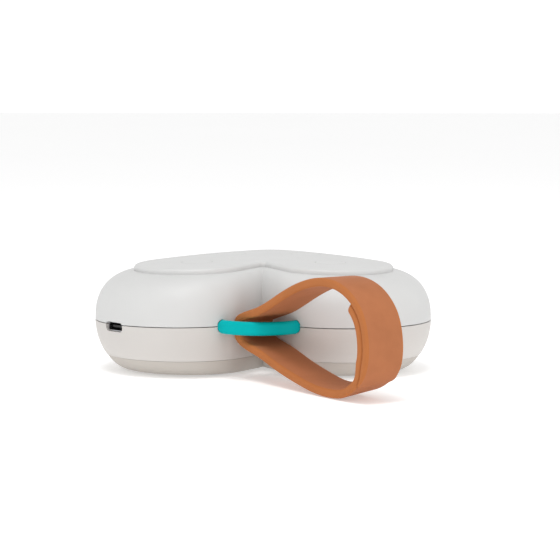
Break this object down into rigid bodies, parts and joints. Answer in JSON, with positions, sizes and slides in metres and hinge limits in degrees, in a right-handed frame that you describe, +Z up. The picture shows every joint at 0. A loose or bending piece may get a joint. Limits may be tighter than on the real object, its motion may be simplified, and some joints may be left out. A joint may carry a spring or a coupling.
{
  "type": "breast pump",
  "caption": "Heart-shaped rechargeable breast pump motor unit with a raised top panel, a socket in one lobe and a looped wrist strap on a bar across its notch.",
  "frame": {"origin": "middle of the housing in plan, on the plane that the foot pads rest on", "axes": "+Z up, -Y towards the notch and strap bar, +Y towards the rear tip and tube outlet, +X to the right lobe"},
  "size_m": [0.12, 0.1664, 0.0393],
  "materials": {
    "shell_white": "fine matt ABS",
    "shell_grey": "fine matt ABS, slightly warm",
    "base_grey": "matt, warm grey",
    "teal": "satin gloss",
    "strap_tan": "smooth tan",
    "window_white": "satin, shows its figures only when lit",
    "rubber_black": "matt",
    "rubber_grey": "matt",
    "key_white": "fine matt",
    "plastic_black": "moulded",
    "plastic_white": "moulded",
    "steel": "plated",
    "board_green": "solder mask",
    "cell_wrap": "shrink wrap",
    "foam": "foam",
    "brass": "turned",
    "magnet": "sintered",
    "copper": "enamelled winding",
    "silicone": "translucent silicone",
    "lead_red": "insulated lead",
    "lead_black": "insulated lead"
  },
  "bodies": {
    "housing": {"upper_shell": "shell_white", "lower_shell": "shell_grey", "base_cover": "base_grey", "strap_ring": "teal", "top_panel": "shell_white", "display_window": "window_white", "panel_gasket": "rubber_black", "switch_bodies": "plastic_black", "housing_screws": "steel", "board_screws": "steel", "foot_pads": "rubber_grey", "main_board": "board_green", "circuit_components": "plastic_black", "display_module": "plastic_black", "socket_shell": "steel", "socket_tongue": "plastic_black", "socket_board": "board_green", "lower_battery_cell": "cell_wrap", "upper_battery_cell": "cell_wrap", "battery_foam": "foam", "motor_can": "steel", "motor_end_cap": "plastic_black", "motor_bushes": "brass", "motor_magnets": "magnet", "pump_frame": "plastic_white", "diaphragm": "rubber_black", "valve_plate": "plastic_white", "check_valves": "rubber_black", "pump_head": "plastic_white", "pump_screws": "steel", "pump_mounts": "rubber_grey", "valve_frame": "steel", "valve_coil": "copper", "valve_spring": "steel", "valve_head": "plastic_white", "pump_hose": "silicone", "valve_hose": "silicone", "outlet_hose": "silicone", "hose_tee": "plastic_white", "outlet_port": "key_white", "outlet_seal": "rubber_grey", "battery_lead": "lead_red", "motor_lead": "lead_black", "valve_lead": "lead_black"},
    "strap_band": {"strap": "strap_tan"},
    "power_key": {"power_button": "key_white", "power_switch_plunger": "plastic_black"},
    "mode_key": {"mode_button": "key_white", "mode_switch_plunger": "plastic_black"},
    "plus_key": {"plus_button": "key_white", "plus_switch_plunger": "plastic_black"},
    "minus_key": {"minus_button": "key_white", "minus_switch_plunger": "plastic_black"},
    "rotor": {"motor_armature": "copper", "motor_shaft": "steel", "eccentric": "brass", "crank_pin": "steel"},
    "wobble": {"wobble_bracket": "plastic_white"},
    "vent_plunger": {"valve_plunger": "steel", "valve_seal": "rubber_black"}
  },
  "joints": [
    {"name": "strap_swing", "type": "hinge", "parent": "housing", "child": "strap_band", "pos_m": [0.00415, -0.05293, 0.0177], "axis": [-0.8039, -0.5948, 0], "range_deg": [-35, 60]},
    {"name": "power_press", "type": "slide", "parent": "housing", "child": "power_key", "axis": [0, 0, -1], "range_m": [0, 0.0005], "stiffness_N_per_m": 600, "springref_m": -0.0008},
    {"name": "mode_press", "type": "slide", "parent": "housing", "child": "mode_key", "axis": [0, 0, -1], "range_m": [0, 0.0005], "stiffness_N_per_m": 600, "springref_m": -0.0008},
    {"name": "plus_press", "type": "slide", "parent": "housing", "child": "plus_key", "axis": [0, 0, -1], "range_m": [0, 0.0005], "stiffness_N_per_m": 600, "springref_m": -0.0008},
    {"name": "minus_press", "type": "slide", "parent": "housing", "child": "minus_key", "axis": [0, 0, -1], "range_m": [0, 0.0005], "stiffness_N_per_m": 600, "springref_m": -0.0008},
    {"name": "rotor_spin", "type": "hinge", "parent": "housing", "child": "rotor", "pos_m": [0, 0.007, 0.0165], "axis": [1, 0, 0], "continuous": true},
    {"name": "wobble_rock", "type": "hinge", "parent": "housing", "child": "wobble", "pos_m": [-0.0092, 0.007, 0.0165], "axis": [0, 0, 1], "range_deg": [-3, 3]},
    {"name": "vent_plunger_travel", "type": "slide", "parent": "housing", "child": "vent_plunger", "axis": [0, 0, -1], "range_m": [0, 0.0008], "stiffness_N_per_m": 400, "springref_m": -0.0012, "deforming": ["valve_spring"]}
  ]
}
